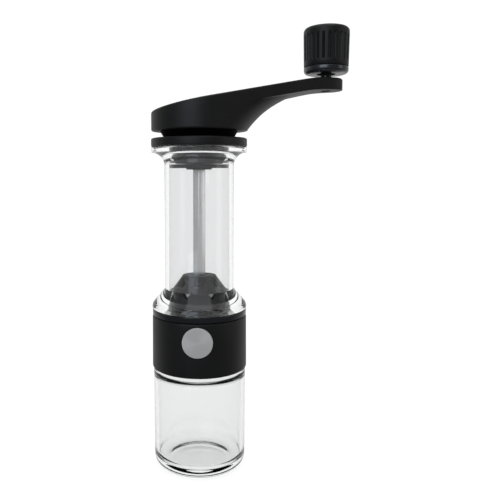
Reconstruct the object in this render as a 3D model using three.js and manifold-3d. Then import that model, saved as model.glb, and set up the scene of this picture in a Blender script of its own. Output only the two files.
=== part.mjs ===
// A hand-cranked pepper mill: a glass jar that catches the ground pepper, a black collar with the
// grinding burrs, a clear hopper for the peppercorns, and a lid with a crank arm and a turning knob.
// Millimetres, +Z up. The origin is the centre of the jar's flat bottom, on the mill's long axis,
// and the crank arm points along +X.
import * as THREE from "three";
import { mergeVertices } from "three/addons/utils/BufferGeometryUtils.js";
import Module from "manifold-3d";

// ---------- driving dimensions ----------
const BODY_RADIUS = 25.1; // the collar, which a hand goes round
const GAP = 0.3; // clearance between pieces that touch or nearly touch
const ROUND = 24; // sides of a large round piece
const SMALL_ROUND = 16; // sides of a small round piece

const JAR = { radius: 24.5, foot: 24.3, footFillet: 5.8, shoulder: 52.0, rim: 66.0, neck: 20.2, mouth: 18.2 };
const THREAD = { pitch: 4, turns: 1.5, start: 57.0, jarCrest: 21.9, collarCrest: 21.1, base: 2, crest: 0.8 };
const COLLAR = { bottom: 53.6, top: 81.5, bore: 22.6, deckBottom: 68.0, deckTop: 70.5, deckBore: 17.6 };
const BADGE = { radius: 7.75, thickness: 1.2, height: 72.0, turn: -2.5, face: 25.15 };
const BASE_RING = { bottom: 81.8, top: 84.9, radius: 24.9, bore: 17.7 };
const SEAL_GROOVE = { inner: 22.6, outer: 24.1, depth: 1.3 }; // in the base ring's top
const HOPPER = { bottom: 85.2, top: 169.6, tube: 18.2, bore: 15.9, flange: 25.0, flare: 7.0 };
const SKIRT = { top: 95.4, rounding: 3.5, roundingHeight: 86.22, steepness: 41, inner: 18.6 }; // the foot
const CAGE = { bottom: 84.4, shoulder: 94.4, top: 103.3, radius: 15.4, topRadius: 8.8, wall: 1.7, sides: 28 };
const ROOF = { bottom: 101.6, radius: 8.3, bossRadius: 7.4, bossBottom: 99.0 }; // under the cage's top
const INLETS = 7; // windows round the cage's cone, with as many notches between and below them
const WINDOW = { width: 5.4, bottom: 97.2, top: 102.2 };
const NOTCH = { width: 4.4, top: 94.1, bottom: 90.2 };
const HOUSING = { bottom: 69.0, top: 84.0, radius: 17.3, bore: 15.0, flange: 22.0, flangeBottom: 70.8 };
const BURR = { bottom: 71.0, top: 81.0, outer: 14.7, throat: 12.4, grind: 11.5, teeth: 20 };
const FUNNEL = { bore: 12.6, outer: 13.3, bottom: 84.4, top: 93.6 }; // leads peppercorns to the burrs
const CONE = { bottom: 70.6, top: 83.5, radius: 11.0, topRadius: 5.2, hub: 6.8, hubBottom: 68.2, teeth: 10 };
const SHAFT = { flats: 6.3, top: 185.8, hexBottom: 69.5, bottom: 60.4, rod: 2.4 };
const NUT = { bottom: 62.6, top: 66.6, radius: 8.2, ribs: 16 };
const SPRING = { bottom: 84.2, top: 92.3, radius: 5.0, wire: 0.45, coils: 5 };
const GUIDE = { bottom: 158.0, top: 160.9, radius: 15.6, hub: 6.75, rim: 2.4, spokes: 4 };
const LID = { bottom: 169.9, top: 174.4, radius: 25.1, bore: 6.3 };
const PLUG = { bottom: 161.7, top: 169.5, radius: 14.4, bottomRadius: 12.5, shoulder: 167.2 };
const NECK = { bottom: 174.75, top: 177.9, bottomRadius: 18.5, radius: 20.2, screws: 13.0 };
const HEAD = { bottom: 178.2, radius: 24.95, edge: 0.9 };
const ARM = { slope: 0.1965, axisTop: 192.95, top: 204.8, thick: 6.0, endX: 67.1, endRadius: 7.4 };
const WEB = { radius: 24.75, lean: 0.8, flare: 0.00157 };
const SOCKET = { bottom: 165.6, top: 187.0, radius: 5.9, flats: 6.8, groove: 168.4 };
const KNOB = { x: 66.0, bottom: 207.3, seam: 210.6, top: 231.5, radius: 11.7, base: 11.4 };
const KNOB_RIBS = { count: 24, top: 226.6 };
const KNOB_PIN = { tail: 2.3, shank: 2.8, shoulder: 222.5, head: 5.4, headRim: 224.4, top: 225.2 };

// small turned sleeves, rings and washers: bore and outer are radii
const LOWER_BUSH = { bore: 4.1, outer: 5.7, bottom: 99.4, top: CAGE.top - 0.2 };
const UPPER_BUSH = { bore: 3.9, outer: 5.0, bottom: GUIDE.bottom + 0.2, top: GUIDE.top - 0.2 };
const LID_BUSH = { bore: 3.9, outer: 5.7, bottom: PLUG.bottom + 0.2, top: PLUG.bottom + 3.3 };
const LID_SEAL = { bore: 14.7, outer: 15.6, bottom: 167.8, top: 169.2 };
const KNOB_SLEEVE = { bore: 3.1, outer: 4.6, bottom: 208.2, top: 221.2 };
const KNOB_WASHER = { bore: 3.1, outer: 5.2, bottom: 221.5, top: 222.2 };
const SHAFT_RING = { bore: 3.95, outer: 6.2, bottom: 92.6, top: 93.6 };
const ADJUSTER_WASHER = { bore: 2.8, outer: 6.8, bottom: NUT.top + GAP, top: CONE.hubBottom - GAP };

// ---------- solids ----------
const wasm = await Module();
wasm.setup();

function positionsOnly(geometry) {
  const bare = geometry.clone();
  bare.deleteAttribute("normal");
  bare.deleteAttribute("uv");
  return mergeVertices(bare, 1e-4);
}

function toSolid(geometry) {
  const merged = positionsOnly(geometry);
  return new wasm.Manifold(
    new wasm.Mesh({
      numProp: 3,
      vertProperties: new Float32Array(merged.attributes.position.array),
      triVerts: new Uint32Array(merged.index.array),
    }),
  );
}

function toGeometry(solid) {
  const mesh = solid.getMesh();
  const geometry = new THREE.BufferGeometry();
  geometry.setAttribute("position", new THREE.BufferAttribute(mesh.vertProperties, 3));
  geometry.setIndex(new THREE.BufferAttribute(mesh.triVerts, 1));
  geometry.computeVertexNormals();
  return geometry;
}

function cut(geometry, ...tools) {
  return toGeometry(tools.reduce((solid, tool) => solid.subtract(toSolid(tool)), toSolid(geometry)));
}

function join(geometry, ...others) {
  return toGeometry(others.reduce((solid, other) => solid.add(toSolid(other)), toSolid(geometry)));
}

// Points on an arc in the [radius, height] plane, with angles in degrees from the radius direction.
function arc(centreR, centreZ, radius, from, to, steps) {
  const points = [];
  for (let i = 0; i <= steps; i++) {
    const angle = THREE.MathUtils.degToRad(from + ((to - from) * i) / steps);
    points.push([centreR + radius * Math.cos(angle), centreZ + radius * Math.sin(angle)]);
  }
  return points;
}

// A body of revolution about Z. The profile runs up the outside; an open one starts and ends on the axis.
function turned(profile, sides = ROUND) {
  const points = profile.map(([r, z]) => new THREE.Vector2(r, z));
  const last = profile[profile.length - 1];
  if (profile[0][0] > 0 || last[0] > 0) {
    points.push(points[0].clone());
  }
  return new THREE.LatheGeometry(points, sides).rotateX(Math.PI / 2);
}

// A closed ring of rectangular section.
function ring(innerRadius, outerRadius, bottom, top, sides = ROUND) {
  const lower = [[innerRadius, bottom], [outerRadius, bottom]];
  const upper = [[outerRadius, top], [innerRadius, top]];
  return turned([...lower, ...upper], sides);
}

function sleeve({ bore, outer, bottom, top }, sides = SMALL_ROUND) {
  return ring(bore, outer, bottom, top, sides);
}

function disc(radius, bottom, top, sides = SMALL_ROUND) {
  return turned([[0, bottom], [radius, bottom], [radius, top], [0, top]], sides);
}

function ringOfRoundSection(radius, z, section, sides = ROUND) {
  return turned(arc(radius, z, section, 0, 300, 5), sides);
}

// A six-sided bar along Z with one edge towards -Y.
function hexBar(flats, bottom, top) {
  const bar = new THREE.CylinderGeometry(flats / Math.sqrt(3), flats / Math.sqrt(3), top - bottom, 6);
  return bar.rotateX(Math.PI / 2).translate(0, 0, (bottom + top) / 2);
}

// A skin over closed rows of points, bottom row first. Each row is a function of the angle that gives
// [radius, height]. The first and last rows are closed by flat fans, or joined when the skin is a ring.
function skin(rows, sides, isRing) {
  const positions = [];
  const index = [];
  rows.forEach((row) => {
    for (let j = 0; j < sides; j++) {
      const angle = (2 * Math.PI * j) / sides;
      const [r, z] = row(angle, j);
      positions.push(r * Math.cos(angle), r * Math.sin(angle), z);
    }
  });
  const bands = isRing ? rows.length : rows.length - 1;
  for (let i = 0; i < bands; i++) {
    const low = i * sides;
    const high = ((i + 1) % rows.length) * sides;
    for (let j = 0; j < sides; j++) {
      const next = (j + 1) % sides;
      index.push(low + j, low + next, high + next, low + j, high + next, high + j);
    }
  }
  if (!isRing) {
    const centres = [rows[0], rows[rows.length - 1]].map((row) => row(Math.PI / 2, 0)[1]);
    const bottomCentre = positions.length / 3;
    positions.push(0, 0, centres[0], 0, 0, centres[1]);
    const topRow = (rows.length - 1) * sides;
    for (let j = 0; j < sides; j++) {
      const next = (j + 1) % sides;
      index.push(bottomCentre, next, j, bottomCentre + 1, topRow + j, topRow + next);
    }
  }
  const geometry = new THREE.BufferGeometry();
  geometry.setAttribute("position", new THREE.Float32BufferAttribute(positions, 3));
  geometry.setIndex(index);
  return geometry;
}

// A bar of constant section that winds round Z. section(angle) gives the section's corners as
// [radius, height], anticlockwise with the radius to the right.
function wound(section, turns, stepsPerTurn) {
  const steps = Math.round(turns * stepsPerTurn);
  const positions = [];
  const index = [];
  const corners = section(0).length;
  for (let i = 0; i <= steps; i++) {
    const angle = (2 * Math.PI * turns * i) / steps;
    section(angle).forEach(([r, z]) => {
      positions.push(r * Math.cos(angle), r * Math.sin(angle), z);
    });
  }
  for (let i = 0; i < steps; i++) {
    for (let k = 0; k < corners; k++) {
      const a = i * corners + k;
      const b = i * corners + ((k + 1) % corners);
      index.push(a, b + corners, b, a, a + corners, b + corners);
    }
  }
  for (let k = 1; k < corners - 1; k++) {
    index.push(0, k, k + 1);
    index.push(steps * corners, steps * corners + k + 1, steps * corners + k);
  }
  const geometry = new THREE.BufferGeometry();
  geometry.setAttribute("position", new THREE.Float32BufferAttribute(positions, 3));
  geometry.setIndex(index);
  return geometry;
}

// One screw-thread ridge: it stands on root, reaches crest and climbs by the pitch each turn.
function threadRidge(root, crest, start) {
  return wound(
    (angle) => {
      const z = start + (THREAD.pitch * angle) / (2 * Math.PI);
      const corners = [
        [root, z - THREAD.base / 2],
        [crest, z - THREAD.crest / 2],
        [crest, z + THREAD.crest / 2],
        [root, z + THREAD.base / 2],
      ];
      return crest > root ? corners : corners.reverse();
    },
    THREAD.turns,
    ROUND,
  );
}

// Moves a piece to the same place at a distance from the axis, at an angle in degrees.
function placedAround(geometry, distance, degrees) {
  return geometry.translate(distance, 0, 0).rotateZ(THREE.MathUtils.degToRad(degrees));
}

// ---------- jar ----------
function glassJar() {
  const floor = 4.5;
  const innerRadius = 22.1;
  const profile = [
    [0, 0],
    ...arc(JAR.foot - JAR.footFillet, JAR.footFillet, JAR.footFillet, -90, 0, 5),
    [JAR.radius, JAR.shoulder],
    [JAR.radius - 0.5, JAR.shoulder + 0.8],
    [JAR.radius - 1.5, COLLAR.bottom - 0.4],
    [JAR.neck, COLLAR.bottom - 0.4],
    [JAR.neck, JAR.rim - 0.4],
    [JAR.neck - 0.4, JAR.rim],
    [JAR.mouth + 0.4, JAR.rim],
    [JAR.mouth, JAR.rim - 0.4],
    [JAR.mouth, JAR.shoulder + 0.8],
    [innerRadius, JAR.shoulder - 3.0],
    ...arc(innerRadius - 4.5, floor + 4.5, 4.5, 0, -90, 4),
    [0, floor],
  ];
  return join(turned(profile), threadRidge(JAR.neck - 0.4, THREAD.jarCrest, THREAD.start));
}

function jarGasket() {
  return ring(JAR.mouth + 0.3, JAR.neck + 1.2, JAR.rim + GAP, COLLAR.deckBottom - GAP);
}

// ---------- mill body ----------
// Turns a piece made about Z so that it faces out of the collar at the badge.
function atBadge(geometry, depth) {
  geometry.rotateX(Math.PI / 2).translate(0, -depth, BADGE.height);
  return geometry.rotateZ(THREE.MathUtils.degToRad(BADGE.turn));
}

function collarShell() {
  const profile = [
    ...arc(BODY_RADIUS - 0.8, COLLAR.bottom + 0.8, 0.8, -90, 0, 2),
    ...arc(BODY_RADIUS - 1.0, COLLAR.top - 0.8, 0.8, 0, 90, 2),
    [COLLAR.bore, COLLAR.top],
    [COLLAR.bore, COLLAR.deckTop],
    [COLLAR.deckBore, COLLAR.deckTop],
    [COLLAR.deckBore, COLLAR.deckBottom],
    [COLLAR.bore, COLLAR.deckBottom],
    [COLLAR.bore, COLLAR.bottom],
  ];
  const ridge = threadRidge(COLLAR.bore + 0.5, THREAD.collarCrest, THREAD.start + THREAD.pitch / 2);
  const pocket = atBadge(disc(BADGE.radius + GAP, 0, 6, ROUND), BADGE.face - BADGE.thickness - 0.5);
  const screwHoles = screwAngles().map((angle) =>
    placedAround(disc(1.1, COLLAR.deckBottom - 1, COLLAR.deckTop + 1, 12), screwCircle(), angle),
  );
  return cut(join(turned(profile), ridge), pocket, ...screwHoles);
}

function badgeDisc() {
  const edge = 0.25;
  const profile = [
    [0, 0],
    [BADGE.radius, 0],
    [BADGE.radius, BADGE.thickness - edge],
    [BADGE.radius - edge, BADGE.thickness],
    [0, BADGE.thickness],
  ];
  return atBadge(turned(profile), BADGE.face - BADGE.thickness);
}

function badgePad() {
  return atBadge(disc(BADGE.radius - 1, 0, 0.4), BADGE.face - BADGE.thickness - 0.45);
}

function baseRing() {
  const { bottom, top, radius, bore } = BASE_RING;
  const { inner, outer, depth } = SEAL_GROOVE;
  return turned([
    [radius - 0.4, bottom],
    [radius, bottom + 0.4],
    [radius, top - 0.4],
    [radius - 0.4, top],
    [outer, top],
    [outer, top - depth],
    [inner, top - depth],
    [inner, top],
    [bore, top],
    [bore, bottom],
  ]);
}

// The clear spool: a conical foot with a rounded edge and a bore that widens downwards, a straight
// tube, and a quarter-round flare that leads out to the top flange.
function hopperTube() {
  const flareRadius = HOPPER.tube + HOPPER.flare;
  const topFlare = HOPPER.top - 2.5 - HOPPER.flare;
  const footCentre = HOPPER.flange - SKIRT.rounding;
  return turned([
    [HOPPER.flange - 0.4, HOPPER.bottom],
    [HOPPER.flange, HOPPER.bottom + 0.4],
    ...arc(footCentre, SKIRT.roundingHeight, SKIRT.rounding, 0, SKIRT.steepness, 3),
    [HOPPER.tube, SKIRT.top],
    ...arc(flareRadius, topFlare, HOPPER.flare, 180, 92, 6),
    [flareRadius, HOPPER.top - 2.2],
    [flareRadius, HOPPER.top - 0.4],
    [flareRadius - 0.4, HOPPER.top],
    [HOPPER.bore + 0.4, HOPPER.top],
    [HOPPER.bore, HOPPER.top - 0.4],
    [HOPPER.bore, SKIRT.top - 0.9],
    [SKIRT.inner, HOPPER.bottom],
  ]);
}

function hopperSeal() {
  const { inner, outer } = SEAL_GROOVE;
  return ringOfRoundSection((inner + outer) / 2, BASE_RING.top - 0.5, 0.7);
}

// The cone over the burrs: it carries the shaft's lower bush and lets peppercorns in at its windows and
// notches. One window faces -Y.
function burrCage() {
  const { bottom, shoulder, top, radius, topRadius, wall, sides } = CAGE;
  const bushSeat = 6.0;
  const profile = [
    [radius, bottom],
    [radius, shoulder],
    [topRadius, top],
    [bushSeat, top],
    [bushSeat, ROOF.bossBottom],
    [ROOF.bossRadius, ROOF.bossBottom],
    [ROOF.bossRadius, ROOF.bottom],
    [ROOF.radius, ROOF.bottom],
    [radius - wall, shoulder - 0.5],
    [radius - wall, bottom],
  ];
  const spacing = 360 / INLETS;
  const openings = [];
  for (let i = 0; i < INLETS; i++) {
    openings.push(placedAround(cageWindow(), ROOF.bossRadius + 0.4, spacing * i - 90));
    openings.push(placedAround(cageNotch(), ROOF.bossRadius + 0.4, spacing * (i + 0.5) - 90));
  }
  return cut(turned(profile, sides), ...openings);
}

function cageWindow() {
  const { width, bottom, top } = WINDOW;
  return new THREE.BoxGeometry(12, width, top - bottom).translate(6, 0, (bottom + top) / 2);
}

function cageNotch() {
  const { width, top, bottom } = NOTCH;
  const outline = new THREE.Shape()
    .moveTo(-width / 2, top)
    .lineTo(0, bottom)
    .lineTo(width / 2, top);
  const options = { depth: 12, bevelEnabled: false };
  const prism = new THREE.ExtrudeGeometry(outline, options);
  return prism.rotateX(Math.PI / 2).rotateZ(Math.PI / 2);
}

function burrHousing() {
  const { bottom, top, radius, bore, flange, flangeBottom } = HOUSING;
  const lip = 12.8;
  const shell = turned([
    [lip, bottom],
    [radius - 0.1, bottom],
    [radius - 0.1, flangeBottom],
    [flange, flangeBottom],
    [flange, flangeBottom + 2.2],
    [radius, flangeBottom + 2.2],
    [radius, top],
    [bore, top],
    [bore, bottom + 1.6],
    [lip, bottom + 1.6],
  ]);
  const holes = screwAngles().map((angle) =>
    placedAround(disc(1.5, bottom, flangeBottom + 4, 12), screwCircle(), angle),
  );
  return cut(shell, ...holes);
}

function screwCircle() {
  return (HOUSING.radius + COLLAR.bore) / 2 + 0.1;
}

function screwAngles() {
  return [0, 120, 240];
}

function housingScrew(angle) {
  const headBottom = HOUSING.flangeBottom + 2.4;
  const slot = new THREE.BoxGeometry(4, 0.6, 1).translate(0, 0, headBottom + 1.6);
  const screw = turned(
    [
      [0, COLLAR.deckBottom + 0.2],
      [0.8, COLLAR.deckBottom + 0.2],
      [0.8, headBottom],
      [1.8, headBottom],
      [1.8, headBottom + 1.1],
      [1.4, headBottom + 1.5],
      [0, headBottom + 1.5],
    ],
    12,
  );
  return placedAround(cut(screw, slot), screwCircle(), angle);
}

// How far a burr tooth stands out at an angle: a saw tooth that winds as it goes down.
function tooth(angle, teeth, lead) {
  const phase = (teeth * angle) / (2 * Math.PI) + lead;
  return phase - Math.floor(phase);
}

// The ceramic ring burr, with a plain collar that guides the peppercorns down into its teeth.
function outerBurr() {
  const { bottom, top, outer, throat, grind, teeth } = BURR;
  const depth = 0.7;
  const inner = (z) => (angle) => {
    const share = (z - bottom) / (top - bottom);
    const wall = grind + (throat - grind) * share;
    return [wall + depth * tooth(angle, teeth, share), z];
  };
  const plain = (r, z) => () => [r, z];
  const rows = [
    plain(outer, bottom),
    plain(outer, top + 2.6),
    plain(throat, top + 2.6),
    inner(top),
    inner((bottom + top) / 2),
    inner(bottom),
  ];
  return skin(rows, 3 * teeth, true);
}

function innerBurr() {
  const { bottom, top, radius, topRadius, hub, hubBottom, teeth } = CONE;
  const depth = 0.9;
  const outer = (z) => (angle) => {
    const share = (z - bottom) / (top - bottom);
    const wall = radius + (topRadius - radius) * share;
    return [wall - depth * tooth(angle, teeth, -1.5 * share), z];
  };
  const plain = (r, z) => () => [r, z];
  const rows = [plain(hub, hubBottom), plain(hub, bottom)];
  for (let i = 0; i <= 4; i++) {
    rows.push(outer(bottom + 0.6 + ((top - bottom - 0.6) * i) / 4));
  }
  const body = skin(rows, 4 * teeth, false);
  return cut(body, hexBar(SHAFT.flats + 0.6, hubBottom - 1, top + 1));
}

// A flat wheel that steadies the shaft near the top of the hopper and leaves room to fill it.
function upperGuide() {
  const { bottom, top, radius, hub, rim, spokes } = GUIDE;
  const outline = new THREE.Shape().absarc(0, 0, radius, 0, 2 * Math.PI);
  outline.holes.push(new THREE.Path().absarc(0, 0, 5.3, 0, 2 * Math.PI, true));
  const halfSpoke = 0.13;
  const firstSpoke = Math.PI / spokes;
  for (let i = 0; i < spokes; i++) {
    const from = (2 * Math.PI * i) / spokes + firstSpoke + halfSpoke;
    const to = (2 * Math.PI * (i + 1)) / spokes + firstSpoke - halfSpoke;
    const opening = new THREE.Path();
    opening.absarc(0, 0, radius - rim, from, to);
    opening.absarc(0, 0, hub, to - 0.1, from + 0.1, true);
    outline.holes.push(opening);
  }
  const options = { depth: top - bottom, bevelEnabled: false, curveSegments: 10 };
  return new THREE.ExtrudeGeometry(outline, options).translate(0, 0, bottom);
}

// ---------- lid ----------
function lidRing() {
  const { bottom, top, radius, bore } = LID;
  return turned([
    [bore, bottom],
    ...arc(radius - 0.7, bottom + 0.7, 0.7, -90, 0, 2),
    ...arc(radius - 0.7, top - 0.7, 0.7, 0, 90, 2),
    [bore, top],
  ]);
}

// The tapered cup under the lid that drops into the hopper's mouth.
function lidPlug() {
  const { bottom, top, radius, bottomRadius, shoulder } = PLUG;
  const wall = 1.6;
  const seat = 6.0;
  return turned([
    [seat, bottom],
    [bottomRadius - 0.3, bottom],
    [bottomRadius, bottom + 0.3],
    [radius, shoulder],
    [radius, top],
    [radius - wall, top],
    [bottomRadius - wall, bottom + 1.5],
    [seat + 1.4, bottom + 1.5],
    [seat + 1.4, bottom + 3.5],
    [seat, bottom + 3.5],
  ]);
}

// ---------- crank ----------
function crankNeck() {
  const { bottom, top, bottomRadius, radius, screws } = NECK;
  const bore = SOCKET.radius + 0.6;
  const shell = turned([[bore, bottom], [bottomRadius, bottom], [radius, top], [bore, top]]);
  const holes = [0, 180].flatMap((angle) => [
    placedAround(disc(2.6, bottom - 1, bottom + 1.7, 16), screws, angle),
    placedAround(disc(1.5, bottom - 1, top + 1, 12), screws, angle),
  ]);
  return cut(shell, ...holes);
}

// Height of the arm's upper face: it climbs in a straight line from the head and then runs level.
function armTop(x) {
  return Math.min(ARM.axisTop + ARM.slope * x, ARM.top);
}

// Plan outline of the arm seen from above: the head's circle and the end's circle, with tangents
// between them. Gives the distance from the mill's axis to the outline at an angle.
function teardrop(angle, headRadius, endX, endRadius) {
  const lean = Math.asin((headRadius - endRadius) / endX);
  const turn = Math.abs(angle > Math.PI ? angle - 2 * Math.PI : angle);
  const tangentFrom = Math.PI / 2 - lean;
  if (turn >= tangentFrom) {
    return headRadius;
  }
  const endTangent = Math.atan2(
    endRadius * Math.cos(lean),
    endX + endRadius * Math.sin(lean),
  );
  if (turn >= endTangent) {
    return headRadius / Math.cos(tangentFrom - turn);
  }
  const along = endX * Math.cos(turn);
  return along + Math.sqrt(endRadius ** 2 - (endX * Math.sin(turn)) ** 2);
}

// The web under the arm: at the head's bottom it is the head's circle, and it sweeps further and
// further out along the arm as it rises, always inside the arm's own outline.
function webOutline(angle, z) {
  const rise = z - HEAD.bottom;
  const reach = WEB.lean * rise + WEB.flare * rise ** 3;
  const taper = (HEAD.radius - ARM.endRadius) / ARM.endX;
  const tipX = Math.max(reach / (1 - taper), 0.01);
  return teardrop(angle, WEB.radius, tipX, WEB.radius - taper * tipX);
}

// Height at which the web meets the arm's lower face, at an angle.
function webTop(angle) {
  let low = HEAD.bottom;
  let high = ARM.top;
  for (let i = 0; i < 40; i++) {
    const middle = (low + high) / 2;
    const face = armTop(webOutline(angle, middle) * Math.cos(angle)) - ARM.thick;
    if (middle < face) {
      low = middle;
    } else {
      high = middle;
    }
  }
  return low;
}

// The crank arm in one piece with its round head.
function crankArm() {
  const sides = 52;
  const edge = HEAD.edge;
  const webSteps = 5;
  const slab = (angle) => teardrop(angle, HEAD.radius, ARM.endX, ARM.endRadius);
  const slabTop = (r, angle) => armTop(r * Math.cos(angle));
  const rows = [];
  for (let i = 0; i <= webSteps; i++) {
    rows.push((angle) => {
      const z = HEAD.bottom + ((webTop(angle) - HEAD.bottom) * i) / webSteps;
      return [webOutline(angle, z), z];
    });
  }
  const kink = (ARM.top - ARM.axisTop) / ARM.slope;
  rows.push((angle) => [slab(angle), slabTop(slab(angle), angle) - ARM.thick]);
  rows.push((angle) => [slab(angle), slabTop(slab(angle), angle) - edge]);
  rows.push((angle) => [slab(angle) - edge, slabTop(slab(angle) - edge, angle)]);
  rows.push((angle) => {
    const r = Math.min(slab(angle) - 1.5 * edge, kink / Math.max(Math.cos(angle), 0.01));
    return [r, slabTop(r, angle)];
  });
  const body = skin(rows, sides, false);
  const screwHole = (angle) =>
    placedAround(disc(1.5, HEAD.bottom - 1, HEAD.bottom + 6, 12), NECK.screws, angle);
  return cut(
    body,
    disc(SOCKET.radius + GAP, HEAD.bottom - 1, SOCKET.top + 0.4),
    disc(2.6, ARM.top - 12, ARM.top + 2).translate(KNOB.x, 0, 0),
    screwHole(0),
    screwHole(180),
  );
}

function shaftSocket() {
  const { bottom, top, radius, flats, groove } = SOCKET;
  const body = turned(
    [
      [0, bottom],
      [radius, bottom],
      [radius, groove],
      [radius - 0.6, groove],
      [radius - 0.6, groove + 0.9],
      [radius, groove + 0.9],
      [radius, top - 0.4],
      [radius - 0.4, top],
      [0, top],
    ],
    SMALL_ROUND,
  );
  return cut(body, hexBar(flats, bottom - 1, top - 0.6));
}

// The open spring ring that keeps the crank in the lid.
function socketClip() {
  const bottom = SOCKET.groove + 0.1;
  const clip = ring(SOCKET.radius - 0.4, SOCKET.radius + 2.1, bottom, bottom + 0.7, SMALL_ROUND);
  return cut(clip, new THREE.BoxGeometry(10, 4, 4).translate(8, 0, bottom));
}

function neckScrew(angle) {
  const headBottom = NECK.bottom + 0.2;
  const slot = new THREE.BoxGeometry(6, 0.6, 1).translate(0, 0, headBottom);
  const screw = turned(
    [
      [0, headBottom],
      [2.3, headBottom],
      [2.3, headBottom + 1.2],
      [1.2, headBottom + 1.2],
      [1.2, HEAD.bottom + 5.4],
      [0, HEAD.bottom + 5.8],
    ],
    16,
  );
  return placedAround(cut(screw, slot), NECK.screws, angle);
}

// The shoulder pin on which the knob turns: its thin end sits in the arm, its head inside the knob.
function knobPin() {
  const { tail, shank, shoulder, head, headRim, top } = KNOB_PIN;
  const pin = turned(
    [
      [0, ARM.top - 5.0],
      [tail, ARM.top - 5.0],
      [tail, ARM.top + GAP],
      [shank, ARM.top + GAP],
      [shank, shoulder],
      [head, shoulder],
      [head, headRim],
      [head - 0.8, top],
      [0, top],
    ],
    SMALL_ROUND,
  );
  return pin.translate(KNOB.x, 0, 0);
}

// ---------- knob ----------
function knobCap() {
  const { seam, top, radius, x } = KNOB;
  const ribs = KNOB_RIBS.count;
  const ribTop = KNOB_RIBS.top;
  const corner = 2.4;
  const crown = 0.6;
  const taper = 0.3;
  const plain = (r, z) => () => [r, z];
  const ribbed = (r, z) => (angle, j) => [r - (j % 2 ? 0.55 : 0), z];
  const shoulder = arc(radius - corner, top - corner - crown, corner, 0, 75, 3);
  const rows = [
    plain(radius - taper, seam + GAP),
    plain(radius - taper, seam + 2.6),
    ribbed(radius - taper, seam + 3.1),
    ribbed(radius, ribTop),
    plain(radius, ribTop + 0.5),
    ...shoulder.map(([r, z]) => plain(r, z)),
    plain(radius / 2, top - 0.15),
    plain(1, top),
  ];
  const hollow = disc(9.2, seam - 1, top - 3.5);
  return cut(skin(rows, 2 * ribs, false), hollow).translate(x, 0, 0);
}

function knobBase() {
  const { bottom, seam, base, x } = KNOB;
  const bore = 4.9;
  const spigot = 8.9;
  const profile = [
    [bore, bottom],
    ...arc(base - 1.6, bottom + 1.6, 1.6, -90, 0, 3),
    [base, seam],
    [spigot, seam],
    [spigot, seam + 3.4],
    [bore, seam + 3.4],
  ];
  return turned(profile).translate(x, 0, 0);
}

// ---------- drive and burr adjustment ----------
function driveShaft() {
  const bar = hexBar(SHAFT.flats, SHAFT.hexBottom, SHAFT.top);
  return join(bar, disc(SHAFT.rod, SHAFT.bottom, SHAFT.hexBottom + 1));
}

function burrSpring() {
  const { bottom, top, radius, wire, coils } = SPRING;
  const climb = (top - bottom - 2 * wire) / coils;
  return wound(
    (angle) => arc(radius, bottom + wire + (climb * angle) / (2 * Math.PI), wire, 0, 288, 4),
    coils,
    14,
  );
}

function adjusterNut() {
  const { bottom, top, radius, ribs } = NUT;
  const grip = (z) => (angle, j) => [radius - (j % 2 ? 0.8 : 0), z];
  const body = skin([grip(bottom), grip(top)], 2 * ribs, false);
  return cut(body, disc(SHAFT.rod + GAP, bottom - 1, top + 1));
}

// ---------- materials ----------
function finish(color, roughness, metalness = 0, opacity = 1) {
  return new THREE.MeshStandardMaterial({
    color,
    roughness,
    metalness,
    opacity,
    transparent: opacity < 1,
  });
}

const blackPlastic = () => finish(0x1d1e20, 0.5);
const deepBlackPlastic = () => finish(0x0c0c0d, 0.6);
const glossPlastic = () => finish(0x15171a, 0.18);
const greyPlastic = () => finish(0x54565a, 0.5);
const clearPlastic = () => finish(0xeef2f4, 0.05, 0, 0.3);
const jarGlass = () => finish(0xedf3f2, 0.03, 0, 0.3);
const steel = () => finish(0xb6b6b8, 0.25, 1);
const brushedSteel = () => finish(0xa9a9aa, 0.38, 1);
const springSteel = () => finish(0x8e9094, 0.3, 1);
const ceramic = () => finish(0xf1eee6, 0.6);
const siliconeRubber = () => finish(0x303234, 0.85);
const nylon = () => finish(0xd9d6cc, 0.6);

// ---------- assembly ----------
const mill = new THREE.Group();

function add(name, geometry, material) {
  const mesh = new THREE.Mesh(geometry, material);
  mesh.name = name;
  mill.add(mesh);
}

add("glass_jar", glassJar(), jarGlass());
add("jar_gasket", jarGasket(), siliconeRubber());

add("collar_shell", collarShell(), blackPlastic());
add("badge_disc", badgeDisc(), brushedSteel());
add("badge_pad", badgePad(), siliconeRubber());
add("base_ring", baseRing(), glossPlastic());
add("hopper_seal", hopperSeal(), siliconeRubber());
add("hopper_tube", hopperTube(), clearPlastic());
add("burr_cage", burrCage(), greyPlastic());
add("lower_bush", sleeve(LOWER_BUSH), nylon());
add("burr_housing", burrHousing(), greyPlastic());
add("outer_burr", outerBurr(), ceramic());
add("burr_funnel", sleeve(FUNNEL, ROUND), nylon());
screwAngles().forEach((angle, i) => add("housing_screw_" + (i + 1), housingScrew(angle), springSteel()));
add("upper_guide", upperGuide(), greyPlastic());
add("upper_bush", sleeve(UPPER_BUSH), nylon());

add("lid_ring", lidRing(), blackPlastic());
add("lid_plug", lidPlug(), greyPlastic());
add("lid_seal", sleeve(LID_SEAL, ROUND), siliconeRubber());
add("lid_bush", sleeve(LID_BUSH), nylon());

add("crank_arm", crankArm(), blackPlastic());
add("crank_neck", crankNeck(), deepBlackPlastic());
add("shaft_socket", shaftSocket(), steel());
add("socket_clip", socketClip(), springSteel());
[0, 180].forEach((angle, i) => add("neck_screw_" + (i + 1), neckScrew(angle), springSteel()));
add("knob_pin", knobPin(), steel());
add("knob_washer", sleeve(KNOB_WASHER).translate(KNOB.x, 0, 0), nylon());

add("knob_cap", knobCap(), blackPlastic());
add("knob_base", knobBase(), glossPlastic());
add("knob_sleeve", sleeve(KNOB_SLEEVE).translate(KNOB.x, 0, 0), nylon());

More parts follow.
